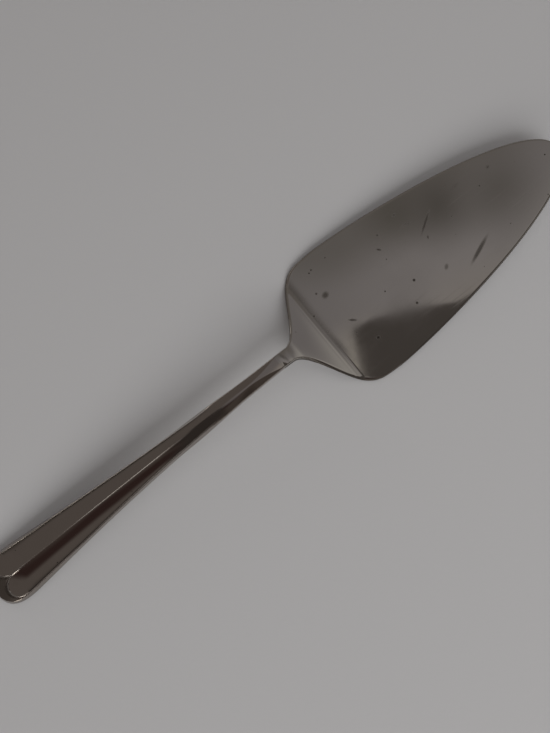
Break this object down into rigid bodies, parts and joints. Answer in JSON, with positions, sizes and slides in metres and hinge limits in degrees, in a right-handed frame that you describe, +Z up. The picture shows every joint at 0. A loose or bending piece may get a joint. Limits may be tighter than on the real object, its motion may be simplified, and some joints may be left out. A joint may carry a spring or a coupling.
{
  "type": "cake server",
  "caption": "Cake server with a flat tapered leaf, a bent heel and neck, and a solid arched handle with twin flutes and a raised thread border, in polished stainless steel.",
  "frame": {"origin": "middle of the bounding box in plan, on the table that the server lies on", "axes": "+X along the server from the handle's end to the blade's tip, +Y across it, +Z up from the table"},
  "size_m": [0.25, 0.0522, 0.012],
  "materials": {
    "blade_steel": "polished stainless steel with fine wear scratches and water marks",
    "weld_steel": "weld metal ground flush and polished",
    "handle_steel": "polished stainless steel, die struck, with worn high edges"
  },
  "bodies": {
    "root": {"blade": "blade_steel", "weld_seam": "weld_steel", "handle": "handle_steel"}
  },
  "joints": []
}
